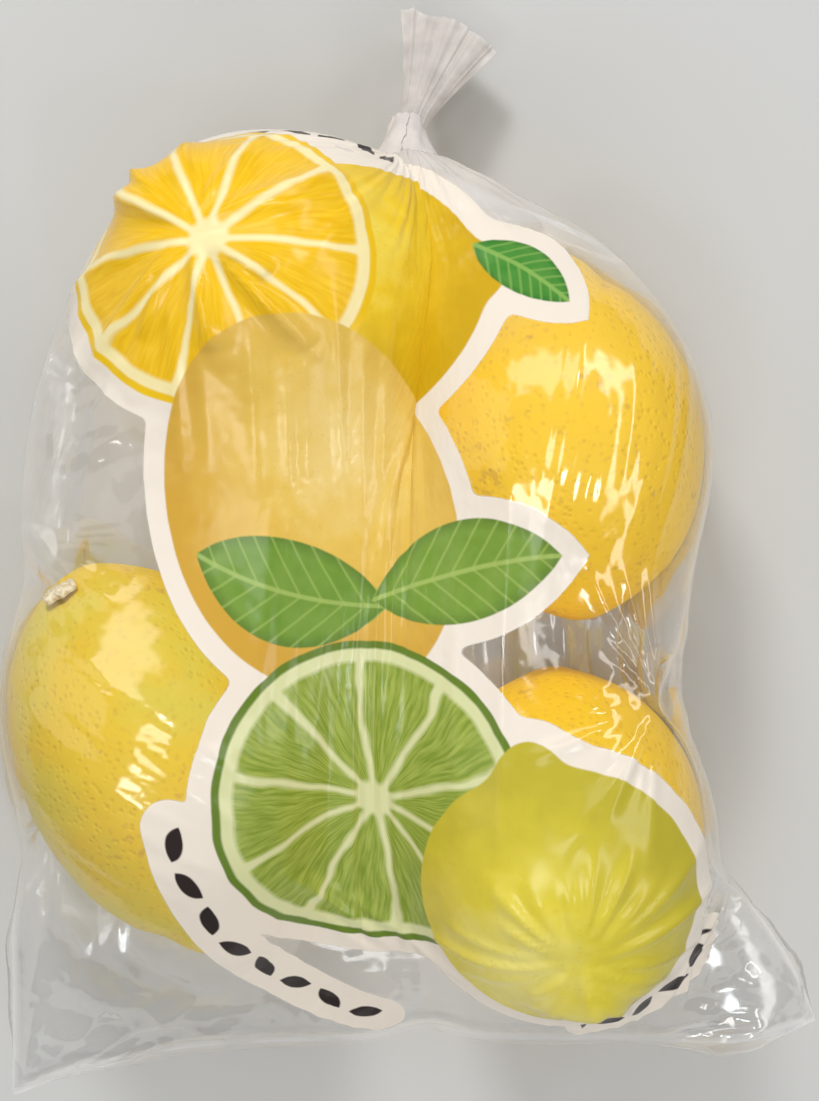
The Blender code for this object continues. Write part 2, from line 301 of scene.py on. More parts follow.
# The photo's camera and the studio
CAMERA_HEIGHT = 0.750
PHOTO_FOCUS = 3119
PHOTO_HEIGHT = 1101
PHOTO_CENTRE = (-0.0012, 0.00067)
LIGHTS_LOOK_AT = (0, 0, 0.03)
AMBIENT = 0.22
FLOOR_COLOUR = (0.56, 0.56, 0.55)
FLOOR_SIZE = 6
FLOOR_GAP = 0.0003
WHITE = (1, 1, 1)
LIGHTS = table(
    "name place size power colour in_reflections",
    ("key", (-0.22, 0.78, 0.62), (0.22, 0.22), 5.0, WHITE, False),
    ("window_left", (-0.75, 0.15, 0.45), (0.55, 0.9), 0.75, WHITE, True),
    ("fill", (0.10, -0.90, 0.70), (0.9, 0.3), 3.4, WHITE, False),
    ("front", (-0.12, -0.14, 1.30), (0.40, 0.34), 1.3, WHITE, True),
    ("low_left", (-0.34, -0.42, 1.0), (0.26, 0.20), 0.9, WHITE, True),
    ("low_right", (0.42, -0.40, 1.0), (0.14, 0.12), 0.6, (0.85, 0.92, 1.0), True),
    ("high_right", (0.34, 0.55, 0.90), (0.14, 0.12), 0.5, (0.88, 0.94, 1.0), True),
    ("strip_right", (0.62, 0.05, 0.60), (1.5, 0.12), 1.9, WHITE, True),
    ("top_soft", (-0.15, 0.6, 0.85), (0.7, 0.3), 1.1, WHITE, True),
)


def lengths_of(vectors):
    return np.sqrt(np.einsum("...k,...k->...", vectors, vectors))


def lemon_frame(lemon):
    """The lemon's centre, resting on the floor through the film, and the direction of its tip."""
    heading, lift = math.radians(lemon["heading"]), math.radians(lemon["lift"])
    level = math.cos(lift)
    axis = np.array([level * math.cos(heading), level * math.sin(heading), math.sin(lift)])
    half_length, half_girth = lemon["length"] / 2, lemon["girth"] / 2
    rest_height = math.hypot(half_girth * math.cos(lift), (half_length - TIP_HEIGHT) * math.sin(lift))
    return np.array([*lemon["centre"], rest_height + FILM_GAP]), axis


def lemon_reach(lemon, angle):
    """How far the skin is from the centre, at an angle from the tip."""
    half_length = lemon["length"] / 2 - (TIP_HEIGHT + STEM_END_HEIGHT) / 2
    half_girth = lemon["girth"] / 2
    body = half_length * half_girth / np.hypot(half_girth * np.cos(angle), half_length * np.sin(angle))
    tip = TIP_HEIGHT * np.exp(-((angle / TIP_SPREAD) ** 2))
    stem_end = STEM_END_HEIGHT * np.exp(-(((math.pi - angle) / STEM_END_SPREAD) ** 2))
    return body + tip + stem_end


def button_direction(lemon):
    """From the lemon's centre to its button, which is a little off the stem end's middle."""
    _, axis = lemon_frame(lemon)
    aside = np.cross(axis, (0, 0, 1.0))
    direction = -axis + np.cross(aside, axis) * BUTTON_RISE - aside * BUTTON_SHIFT
    return direction / np.linalg.norm(direction)


def out_of_lemons(points):
    """The points, with those inside a lemon moved out to just over its skin."""
    for lemon in LEMONS:
        centre, axis = lemon_frame(lemon)
        offset = points - centre
        distance = lengths_of(offset)
        near = distance < lemon["length"] / 2 + TIP_HEIGHT
        offset, distance = offset[near], np.maximum(distance[near], 1e-9)
        angle = np.arccos(np.clip(offset @ axis / distance, -1, 1))
        reach = lemon_reach(lemon, angle) + FILM_GAP
        points = points.copy()
        points[near] = centre + offset * np.maximum(1, reach / distance)[:, None]
    return points


def along_crease(points, neck_side, shares):
    """Points spread evenly along a crease: a smooth curve through the named points and the neck's side."""
    knots = np.array([*points, neck_side])
    padded = np.vstack([2 * knots[0] - knots[1], knots, 2 * knots[-1] - knots[-2]])
    curve = []
    for before, start, end, after in zip(padded, padded[1:], padded[2:], padded[3:]):
        for t in np.linspace(0, 1, CREASE_DIVISIONS, endpoint=False):
            linear = (end - before) * t
            square = (2 * before - 5 * start + 4 * end - after) * t**2
            cubic = (3 * start - before - 3 * end + after) * t**3
            curve.append(start + (linear + square + cubic) / 2)
    curve = np.array([*curve, knots[-1]])
    length = np.append(0, np.cumsum(np.linalg.norm(np.diff(curve, axis=0), axis=1)))
    return np.stack([np.interp(shares * length[-1], length, curve[:, i]) for i in range(3)], axis=-1)


def curled(distance, curl):
    """How far the seam lifts off the floor, at a distance from its corner."""
    return curl["height"] * np.exp(-(((distance - curl["from_corner"]) / curl["reach"]) ** 2))


def seam_ring(across, side):
    """The bottom seam: across runs from 0 at the left corner to 1 at the right one."""
    left, right = LEFT_CREASE[0], RIGHT_CREASE[0]
    x = left[0] + (right[0] - left[0]) * across
    from_left, from_right = np.abs(x - left[0]), np.abs(right[0] - x)
    y = SEAM_Y - LEFT_CORNER_DROP * np.exp(-((from_left / LEFT_CORNER_REACH) ** CORNER_SHARPNESS))
    y = y + RIGHT_CORNER_RISE * np.exp(-((from_right / RIGHT_CORNER_REACH) ** CORNER_SHARPNESS))
    y = y + SEAM_NOTCH * np.exp(-(((x - SEAM_NOTCH_X) / SEAM_NOTCH_REACH) ** 2))
    middle = SEAM_THICKNESS / 2 + curled(from_left, LEFT_CURL) + curled(from_right, RIGHT_CURL)
    taper = np.clip(np.minimum(from_left, from_right) / SEAM_TAPER, 0, 1)
    z = middle + side * taper * SEAM_THICKNESS / 2
    return np.stack([x, y, z], axis=-1)


def round_neck(turn):
    """Directions out from the neck's middle: to the right where turn is 0, and up at a quarter turn."""
    forward = np.subtract(NECK_TOP, NECK_BASE)
    forward /= np.linalg.norm(forward)
    across = np.array([1.0, 0, 0]) - forward[0] * forward
    across /= np.linalg.norm(across)
    return np.cos(turn)[..., None] * across + np.sin(turn)[..., None] * np.cross(across, forward)


def neck_ring(turn):
    return np.array(NECK_BASE) + NECK_BASE_RADIUS * round_neck(turn)


def bag_before_settling():
    """Slack film round all the lemons, as rings from the seam to the neck that are held at both creases."""
    index = np.arange(AROUND)
    half = AROUND // 2
    across = np.where(index <= half, index, AROUND - index) / half
    side = np.where(index <= half, 1.0, -1.0)
    side[[0, half]] = 0
    neck = neck_ring(math.pi - 2 * math.pi * index / AROUND)
    shares = np.linspace(0, 1, BAG_RINGS)
    left = along_crease(LEFT_CREASE, neck[0], shares)[:, None]
    right = along_crease(RIGHT_CREASE, neck[half], shares)[:, None]
    rings = left + (right - left) * across[:, None]
    belly = np.sin(math.pi * shares)[:, None] ** BELLY_FULLNESS * np.sin(math.pi * across) ** BELLY_FULLNESS
    crease_height = rings[..., 2]
    top = crease_height + (SLACK_HEIGHT - crease_height) * belly
    bottom = crease_height * (1 - belly)
    rings[..., 2] = np.where(side > 0, top, np.where(side < 0, bottom, crease_height))
    rings[0] = seam_ring(across, side)
    rings[-1] = neck
    return rings


def settled(rings):
    """The film drawn tight: each point moves to the mean of its neighbours, and stays out of the lemons,
    above the floor and clear of the other side of the bag."""
    share = np.linspace(0, 1, len(rings))[1:-1, None, None]
    to_neck = np.clip((share - NECK_PULL_FROM) / NECK_PULL_REACH, 0, 1)
    hoop = HOOP_PULL + (NECK_HOOP_PULL - HOOP_PULL) * to_neck
    half = AROUND // 2
    front = np.arange(1, half)
    back = AROUND - front
    creases = out_of_lemons(rings[1:-1, [0, half]])
    for _ in range(SETTLING_STEPS):
        along = (rings[:-2] + rings[2:]) / 2
        inner = rings[1:-1]
        around = (np.roll(inner, 1, axis=1) + np.roll(inner, -1, axis=1)) / 2
        inner = (1 - hoop) * along + hoop * around
        inner[..., 2] -= FILM_SAG
        inner = out_of_lemons(inner)
        thickness = inner[:, front, 2] - inner[:, back, 2]
        lack = np.maximum(0, SEAM_THICKNESS - thickness) / 2
        inner[:, front, 2] += lack
        inner[:, back, 2] -= lack
        inner[..., 2] = np.maximum(inner[..., 2], 0)
        inner[:, front, 2] = np.maximum(inner[:, front, 2], SEAM_THICKNESS)
        inner[:, [0, half]] = creases
        rings[1:-1] = inner
    return rings


def resampled(grid, rows, columns):
    """The same sheet with another number of rows and columns."""
    for axis, count in ((0, rows), (1, columns)):
        place = np.linspace(0, grid.shape[axis] - 1, count)
        low = np.minimum(place.astype(int), grid.shape[axis] - 2)
        share = (place - low)[:, None, None] if axis == 0 else (place - low)[None, :, None]
        grid = np.take(grid, low, axis=axis) * (1 - share) + np.take(grid, low + 1, axis=axis) * share
    return grid


def smooth_sheet(coarse, columns, side, under):
    """One side of the tight bag, finely divided and smooth. It stays over the sheet under it, where given."""
    for step in SMOOTHING_LEVELS:
        rows_now, columns_now = (SHEET_ROWS - 1) // step + 1, (columns - 1) // step + 1
        sheet = resampled(coarse, rows_now, columns_now)
        across = np.linspace(0, 1, columns_now)
        sheet[0] = seam_ring(across, np.where((across > 0) & (across < 1), float(side), 0))
        sheet[-1] = neck_ring(math.pi * (1 - across) * side)
        shares = np.linspace(0, 1, rows_now)
        for edge, points in ((0, LEFT_CREASE), (-1, RIGHT_CREASE)):
            sheet[1:-1, edge] = out_of_lemons(along_crease(points, sheet[-1, edge], shares))[1:-1]
        floor = resampled(under, rows_now, columns_now)[1:-1, 1:-1, 2] + SEAM_THICKNESS if under is not None else 0
        for _ in range(SMOOTHING_STEPS):
            along = (sheet[:-2, 1:-1] + sheet[2:, 1:-1]) / 2
            around = (sheet[1:-1, :-2] + sheet[1:-1, 2:]) / 2
            inner = out_of_lemons(SMOOTHING_ALONG * along + (1 - SMOOTHING_ALONG) * around)
            inner[..., 2] = np.maximum(inner[..., 2], floor)
            sheet[1:-1, 1:-1] = inner
        coarse = sheet
    return sheet


def pull(start, end, rest, stiffness):
    """Moves the two ends of many threads so that each thread gets nearer its rest length."""
    gap = end - start
    gap *= (0.5 * stiffness * (1 - rest / np.maximum(lengths_of(gap), 1e-9)))[..., None]
    start += gap
    end -= gap


def thread_ends(sheet, down, across, first, step):
    """The two ends of each thread that runs so many rows down and columns across. Every step-th one is taken,
    so that no two of them share an end."""
    rows, columns = sheet.shape[:2]
    if down:
        left, right = max(0, -across), columns - max(0, across)
        start = sheet[first : rows - down : step, left:right]
        end = sheet[first + down :: step, left + across : right + across]
    else:
        start = sheet[:, first : columns - across : step]
        end = sheet[:, first + across :: step]
    return start, end


def rest_lengths(sheet, slack):
    """For each kind of thread, its length on the sheet, and a little more where the film is slack."""
    kinds = {}
    slack = np.broadcast_to(slack, sheet.shape[:2])
    for down, across in [thread[:2] for thread in THREADS] + SPANS:
        start, end = thread_ends(sheet, down, across, 0, 1)
        kinds[down, across] = lengths_of(end - start) * (1 + thread_ends(slack, down, across, 0, 1)[0])
    return kinds


def held_edges(sheet, tight):
    sheet[0], sheet[-1], sheet[:, 0], sheet[:, -1] = tight[0], tight[-1], tight[:, 0], tight[:, -1]


def tighten(sheet, kinds, span_pull):
    """One pass over all threads and spans."""
    pulls = [(*thread, 2) for thread in THREADS] + [(*span, span_pull, 4) for span in SPANS]
    for down, across, stiffness, step in pulls:
        rest = kinds[down, across]
        for first in range(step):
            start, end = thread_ends(sheet, down, across, first, step)
            part = rest[first::step] if down else rest[:, first::step]
            pull(start, end, part[: start.shape[0], : start.shape[1]], stiffness)


def normals_of(sheet):
    normal = np.cross(np.gradient(sheet, axis=1), np.gradient(sheet, axis=0))
    return normal / np.maximum(lengths_of(normal), 1e-12)[..., None]


def flattened(tight):
    """The sheet laid out flat with as little stretch as it allows, in metres from the bag's middle. Evening out
    comes first, which keeps it from folding over itself."""
    coarse = tight[::FLATTENING_STEP, ::FLATTENING_STEP]
    middle = coarse.shape[0] // 2, coarse.shape[1] // 2
    flat = np.zeros_like(coarse)
    for axis in (0, 1):
        run = np.cumsum(lengths_of(np.diff(coarse, axis=1 - axis)), axis=1 - axis)
        run = np.concatenate([np.zeros_like(run[:1] if axis else run[:, :1]), run], axis=1 - axis)
        flat[..., axis] = run - (run[middle[0]] if axis else run[:, middle[1], None]) + coarse[middle][axis]
    kinds = rest_lengths(coarse, 0)
    for step in range(FLATTENING_STEPS):
        tighten(flat, kinds, 0.0)
        even = (flat[:-2, 1:-1] + flat[2:, 1:-1] + flat[1:-1, :-2] + flat[1:-1, 2:]) / 4
        flat[1:-1, 1:-1] += (even - flat[1:-1, 1:-1]) * EVENING * max(0, 1 - step / EVENING_STEPS)
        flat[..., 2] = 0
    flat -= flat[middle] - coarse[middle] * (1, 1, 0)
    return resampled(flat, *tight.shape[:2])


def fold_lines(stars, bands, rng):
    """Every fold as a start, an end, a height, and its widths there."""
    lines = []
    for star in stars:
        first, last = star["turns"]
        for number in range(star["count"]):
            turn = math.radians(first + (last - first) * (number + rng.uniform(0.1, 0.9)) / star["count"])
            along = np.array([math.cos(turn), math.sin(turn)])
            begin = star["at"] + along * star["width"] * rng.uniform(0, 1.5)
            finish = star["at"] + along * star["reach"] * rng.uniform(0.40, 1.0)
            width = star["width"] * rng.uniform(0.6, 1.2)
            lines.append((begin, finish, star["height"] * rng.uniform(0.4, 1.0), 0.30 * width, width))
    for band in bands:
        for number in range(band["count"]):
            turn = math.radians(band["heading"] + rng.uniform(-6, 6))
            along, aside = np.array([math.cos(turn), math.sin(turn)]), np.array([-math.sin(turn), math.cos(turn)])
            shift = band["spread"] * ((number + rng.uniform(0.1, 0.9)) / band["count"] - 0.5)
            middle = band["at"] + aside * shift + along * band["length"] * rng.uniform(-0.15, 0.15)
            half = along * band["length"] * rng.uniform(0.25, 0.55)
            width = band["width"] * rng.uniform(0.6, 1.3)
            lines.append((middle - half, middle + half, band["height"] * rng.uniform(0.35, 1.0), width, width))
    return lines


def fold_heights(flat, lines, crumples, rng):
    """How far the folds and facets stand up at each place on the flat film."""
    places = flat[..., :2]
    height = np.zeros(places.shape[:2])
    for start, end, top, first_width, last_width in lines:
        run = end - start
        along = np.clip(((places - start) @ run) / (run @ run), 0, 1)
        aside = lengths_of(places - start - along[..., None] * run)
        width = first_width + (last_width - first_width) * along
        crest = np.exp(-np.abs(aside / width) ** 1.4)
        height = np.maximum(height, top * crest * np.sqrt(np.sin(math.pi * np.clip(along, 0.02, 0.98))))
    bent = places + CREASE_BEND * np.sin(places[..., ::-1] * (2 * math.pi / CREASE_BEND_WAVE) + (1, 2))
    for crumple in crumples:
        facets = np.zeros(places.shape[:2])
        for share in FACET_SHARES:
            turn = rng.uniform(0, 2 * math.pi)
            wave = crumple["wave"] * share / FACET_SHARES[0] * rng.uniform(0.8, 1.2)
            count = bent @ (math.cos(turn) / wave, math.sin(turn) / wave) + rng.uniform(0, 1)
            facets += share * np.abs(count % 1 * 2 - 1)
        away = (places - crumple["at"]) / crumple["reach"]
        height += crumple["height"] * facets * np.exp(-((away**2).sum(axis=-1)) ** 1.5)
    return height


def relaxed(sheet, kinds, still, passes, puff, span_pull, floor):
    """The sheet after passes that give each thread its length, out of the lemons and over the floor."""
    outward = normals_of(sheet)
    stuck = (lengths_of(out_of_lemons(sheet - outward * GRIP_REACH) - sheet + outward * GRIP_REACH) > 0) & (puff == 0)
    places = sheet[stuck]
    for turn in range(passes):
        sheet += outward * puff
        tighten(sheet, kinds, span_pull)
        if turn % CONTACT_PASSES == CONTACT_PASSES - 1 or turn == passes - 1:
            sheet = out_of_lemons(sheet)
            sheet[..., 2] = np.maximum(sheet[..., 2], floor)
            sheet[stuck] += (places - sheet[stuck]) * GRIP
        held_edges(sheet, still)
    return sheet


def wrinkled(tight, flat, lines, crumples, rng, under=None):
    """The tight sheet puffed up a little by the air inside, with its folds, and buckled where it is loose."""
    floor = under[..., 2] + SEAM_THICKNESS / 2 if under is not None else np.zeros(tight.shape[:2])
    rise = np.zeros((2, 2, 3))
    for step, passes, puff in PUFF_LEVELS:
        base = tight[::step, ::step]
        puffed = base + resampled(rise, *base.shape[:2])
        kinds = rest_lengths(base, PUFF_SLACK)
        puffed = relaxed(puffed, kinds, base, passes, puff, PUFF_SPAN_PULL, floor[::step, ::step])
        rise = puffed - base
    puffed = tight + resampled(rise, *tight.shape[:2])
    held_edges(puffed, tight)
    sheet = puffed + normals_of(puffed) * fold_heights(flat, lines, crumples, rng)[..., None]
    held_edges(sheet, tight)
    loose = np.full(tight.shape[:2], EVEN_SLACK)
    for crumple in crumples:
        away = (flat[..., :2] - crumple["at"]) / crumple["reach"]
        loose += crumple["slack"] * np.exp(-(away**2).sum(axis=-1))
    rise = np.zeros((2, 2, 3))
    for step, passes, jitter in BUCKLE_LEVELS:
        base = sheet[::step, ::step]
        kinds = rest_lengths(base, loose[::step, ::step])
        buckled = base + resampled(rise, *base.shape[:2])
        buckled += normals_of(base) * (jitter * rng.random(base.shape[:2]))[..., None]
        still = tight[::step, ::step]
        buckled = relaxed(buckled, kinds, still, passes, 0, BUCKLE_SPAN_PULL, floor[::step, ::step])
        rise = buckled - base
    return buckled


def grid_object(name, points, corner_order=(0, 3, 2, 1), closed=False):
    """A smooth mesh of rows of points. Closed rows join up with their own start."""
    rows, columns = points.shape[:2]
    index = np.arange(rows * columns).reshape(rows, columns)
    if closed:
        index = np.concatenate([index, index[:, :1]], axis=1)
    corners = index[:-1, :-1], index[:-1, 1:], index[1:, 1:], index[1:, :-1]
    faces = np.stack([corners[number] for number in corner_order], axis=-1).reshape(-1, 4)
    mesh = bpy.data.meshes.new(name)
    mesh.from_pydata(points.reshape(-1, 3), [], faces)
    mesh.shade_smooth()
    piece = bpy.data.objects.new(name, mesh)
    bpy.context.collection.objects.link(piece)
    return piece


def lay_out_film(mesh, flat):
    """Gives a sheet's mesh its flat layout as a UV map, and its hem: 1 on the seam, less beside it."""
    corners = np.empty(len(mesh.loops), dtype=np.int32)
    mesh.loops.foreach_get("vertex_index", corners)
    places = flat.reshape(-1, 3)[corners, :2] / FLAT_WIDTH + 0.5
    mesh.uv_layers.new(name="flat_film").data.foreach_set("uv", places.astype(np.float32).reshape(-1))
    rows, columns = flat.shape[:2]
    hem = np.repeat(np.maximum(0, 1 - np.arange(rows) * SEAM_HEM_STEP)[:, None], columns, axis=1)
    for number, least in enumerate(CREASE_HEM):
        edges = [number, -1 - number]
        hem[:, edges] = np.maximum(hem[:, edges], least)
    mesh.attributes.new("hem", "FLOAT", "POINT").data.foreach_set("value", hem.astype(np.float32).reshape(-1))


def srgb(red, green, blue):
    """A colour as it looks on screen, in 0 to 255, made linear."""
    return tuple(((c / 255 + 0.055) / 1.055) ** 2.4 if c > 10 else c / 255 / 12.92 for c in (red, green, blue))


class Flow:
    """What comes out of a node. Arithmetic on it adds Math nodes to the same tree."""

    def __init__(self, tree, socket):
        self.tree, self.socket = tree, socket

    def math(self, operation, *others, clamp=False):
        node = self.tree.nodes.new("ShaderNodeMath")
        node.operation = operation
        node.use_clamp = clamp
        for slot, value in zip(node.inputs, (self, *others)):
            feed(self.tree, slot, value)
        return Flow(self.tree, node.outputs[0])

    __add__ = partialmethod(math, "ADD")
    __sub__ = partialmethod(math, "SUBTRACT")
    __mul__ = partialmethod(math, "MULTIPLY")
    __truediv__ = partialmethod(math, "DIVIDE")
    __pow__ = partialmethod(math, "POWER")
    __abs__ = partialmethod(math, "ABSOLUTE")
    least = partialmethod(math, "MINIMUM")
    most = partialmethod(math, "MAXIMUM")

    def ramp(self, low, high):
        """0 where this is at low, 1 where it is at high, and even between."""
        return self.math("MULTIPLY_ADD", 1 / (high - low), -low / (high - low), clamp=True)

    def parts(self):
        node = self.tree.nodes.new("ShaderNodeSeparateXYZ")
        self.tree.links.new(self.socket, node.inputs[0])
        return [Flow(self.tree, output) for output in node.outputs]


def feed(tree, slot, value):
    if isinstance(value, Flow):
        tree.links.new(value.socket, slot)
    elif slot.type == "RGBA":
        slot.default_value = (*value, 1)
    else:
        slot.default_value = value


def put(tree, kind, inputs, output=0, **settings):
    """Adds a node, and returns what comes out of it."""
    node = tree.nodes.new(kind)
    for name, value in settings.items():
        setattr(node, name, value)
    for slot, value in inputs.items():
        feed(tree, node.inputs[slot], value)
    return Flow(tree, node.outputs[output])


def blend(tree, share, first, second):
    """The first colour where share is 0, and the second one where it is 1."""
    return put(tree, "ShaderNodeMix", {0: share, 6: first, 7: second}, output=2, data_type="RGBA")


def noise(tree, place, scale, detail=2.0):
    return put(tree, "ShaderNodeTexNoise", {"Vector": place, "Scale": scale, "Detail": detail}, output="Fac")


def bumps(tree, height, strength, distance):
    return put(tree, "ShaderNodeBump", {"Height": height, "Strength": strength, "Distance": distance})


def new_material(name):
    """A new material, its tree, and the place on the object."""
    material = bpy.data.materials.new(name)
    material.use_nodes = True
    tree = material.node_tree
    return material, tree, put(tree, "ShaderNodeTexCoord", {}, output="Object")


def shade(tree, inputs):
    """Feeds the material's shader."""
    for slot, value in inputs.items():
        feed(tree, tree.nodes["Principled BSDF"].inputs[slot], value)


def new_group(name, inputs, outputs):
    """A node group with sockets named by kind. Gives its tree, what comes in, and a function for what goes out."""
    tree = bpy.data.node_groups.new(name, "ShaderNodeTree")
    for direction, sockets in (("INPUT", inputs), ("OUTPUT", outputs)):
        for kind, labels in sockets.items():
            for label in labels.split(", "):
                tree.interface.new_socket(label, in_out=direction, socket_type="NodeSocket" + kind)
    source, sink = tree.nodes.new("NodeGroupInput"), tree.nodes.new("NodeGroupOutput")
    given = {socket.name: Flow(tree, socket) for socket in source.outputs if socket.name}

    def give(**flows):
        for label, flow in flows.items():
            tree.links.new(flow.socket, sink.inputs[label])

    return tree, given, give


def use_group(tree, group, inputs):
    node = tree.nodes.new("ShaderNodeGroup")
    node.node_tree = group
    for slot, value in inputs.items():
        feed(tree, node.inputs[slot], value)
    return {output.name: Flow(tree, output) for output in node.outputs}


def citrus_wheel_group():
    """A cut slice: rind, pith, and segments with pale skins between them."""
    inputs = {"Vector": "Place", "Float": "Wobble, Radius", "Color": "Rind, Pith, Flesh, Pulp"}
    tree, given, give = new_group("citrus_wheel", inputs, {"Color": "Color", "Float": "Distance"})
    wobble = given["Wobble"]
    x, y, _ = given["Place"].parts()
    reach = ((x * x + y * y) ** 0.5) / given["Radius"]
    angle = y.math("ARCTAN2", x) * (SEGMENTS / (2 * math.pi)) + wobble * 0.35
    beside = abs(angle.math("FRACT") - 0.5) * -1 + 0.5
    aside = beside * reach * (2 * math.pi / SEGMENTS)
    round_reach = reach + wobble * 0.05
    skin = aside.math("MULTIPLY_ADD", 1.0, (reach - 0.55).most(0.0) ** 2 * -0.14)
    streak = noise(tree, put(tree, "ShaderNodeCombineXYZ", {0: angle * 9.0, 1: reach * 2.2}), 2.2)
    flesh = blend(tree, streak.ramp(0.35, 0.68), given["Flesh"], given["Pulp"])
    flesh = blend(tree, skin.ramp(0.032, 0.008), flesh, given["Pith"])
    flesh = blend(tree, (round_reach + wobble * 0.1).ramp(0.13, 0.09), flesh, given["Pith"])
    flesh = blend(tree, round_reach.ramp(0.86, 0.89), flesh, given["Pith"])
    colour = blend(tree, round_reach.ramp(0.945, 0.96), flesh, given["Rind"])
    give(Color=colour, Distance=(reach - 1.0) * given["Radius"] + wobble * 0.002)
    return tree


def whole_fruit_group():
    """A whole fruit along X with its tip at +X, lit from one side and speckled with pores."""
    inputs = {"Vector": "Place", "Float": "Mottle, Pores, Half Length, Half Width", "Color": "Peel, Shade, Shine"}
    tree, given, give = new_group("whole_fruit", inputs, {"Color": "Color", "Float": "Distance"})
    x, y, _ = given["Place"].parts()
    along, across = x / given["Half Length"], y / given["Half Width"]
    reach = (along * along + across * across) ** 0.5
    body = (reach - 1.0) * given["Half Width"]
    tip_x = x - given["Half Length"] * 0.97
    tip = (tip_x * tip_x + y * y) ** 0.5 - given["Half Width"] * 0.2
    distance = body.math("SMOOTH_MIN", tip, 0.008)
    light_x, light_y = along + 0.25, across - 0.3
    light = (light_x * light_x + light_y * light_y) ** 0.5
    mottle, pores = given["Mottle"], given["Pores"]
    colour = blend(tree, (light + mottle * 0.5).ramp(0.75, 1.45), given["Peel"], given["Shade"])
    colour = blend(tree, (light + mottle * 0.8).ramp(0.95, 0.45) * 0.75, colour, given["Shine"])
    colour = blend(tree, pores.ramp(0.26, 0.06) * 0.22, colour, given["Shade"])
    give(Color=colour, Distance=distance)
    return tree


def leaf_group():
    """A pointed leaf along X, with a pale midrib and side veins."""
    inputs = {"Vector": "Place", "Float": "Mottle, Length, Width", "Color": "Blade, Vein"}
    tree, given, give = new_group("leaf", inputs, {"Color": "Color", "Float": "Distance"})
    x, y, _ = given["Place"].parts()
    length, width = given["Length"], given["Width"]
    share = x / length
    y = y + (share * share - 0.08) * width * 0.5
    radius = (length * length + width * width) / width * 0.25
    from_centre = abs(y) + radius - width * 0.5
    distance = (x * x + from_centre * from_centre) ** 0.5 - radius
    spacing = length / 9.0
    vein = abs(((x - abs(y) * 0.9) / spacing).math("FRACT") - 0.5) * spacing
    colour = blend(tree, given["Mottle"].ramp(0.3, 0.7) * 0.25, given["Blade"], given["Vein"])
    colour = blend(tree, (distance / width).ramp(-0.12, 0.0) * 0.35, colour, DARK_GREEN)
    colour = blend(tree, vein.ramp(0.0006, 0.0001) * 0.55, colour, given["Vein"])
    colour = blend(tree, abs(y).ramp(0.0007, 0.0003) * 0.85, colour, given["Vein"])
    give(Color=colour, Distance=distance)
    return tree


def leaf_row_group():
    """A row of small leaves round an arc, on a band of its own."""
    inputs = {"Vector": "Place", "Float": "Radius, Half Angle, Step, Band"}
    tree, given, give = new_group("leaf_row", inputs, {"Float": "Leaf, Band"})
    x, y, _ = given["Place"].parts()
    angle = y.math("ARCTAN2", x)
    reach = (x * x + y * y) ** 0.5 - given["Radius"]
    beyond = (abs(angle) - given["Half Angle"]).most(0.0) * given["Radius"]
    band = (reach * reach + beyond * beyond) ** 0.5 - given["Band"]
    number = (angle / given["Step"]).math("FLOOR")
    along = ((angle / given["Step"]).math("FRACT") - 0.5) * given["Step"] * given["Radius"]
    lean = (abs(number.math("PINGPONG", 1.0)) - 0.5) * 1.7
    u, v = reach + along * lean * 0.5, along - reach * lean
    leaf = (v * v + (abs(u) + 0.0052) ** 2) ** 0.5 - 0.0072
    give(Leaf=leaf.most(beyond - 0.001), Band=band)
    return tree


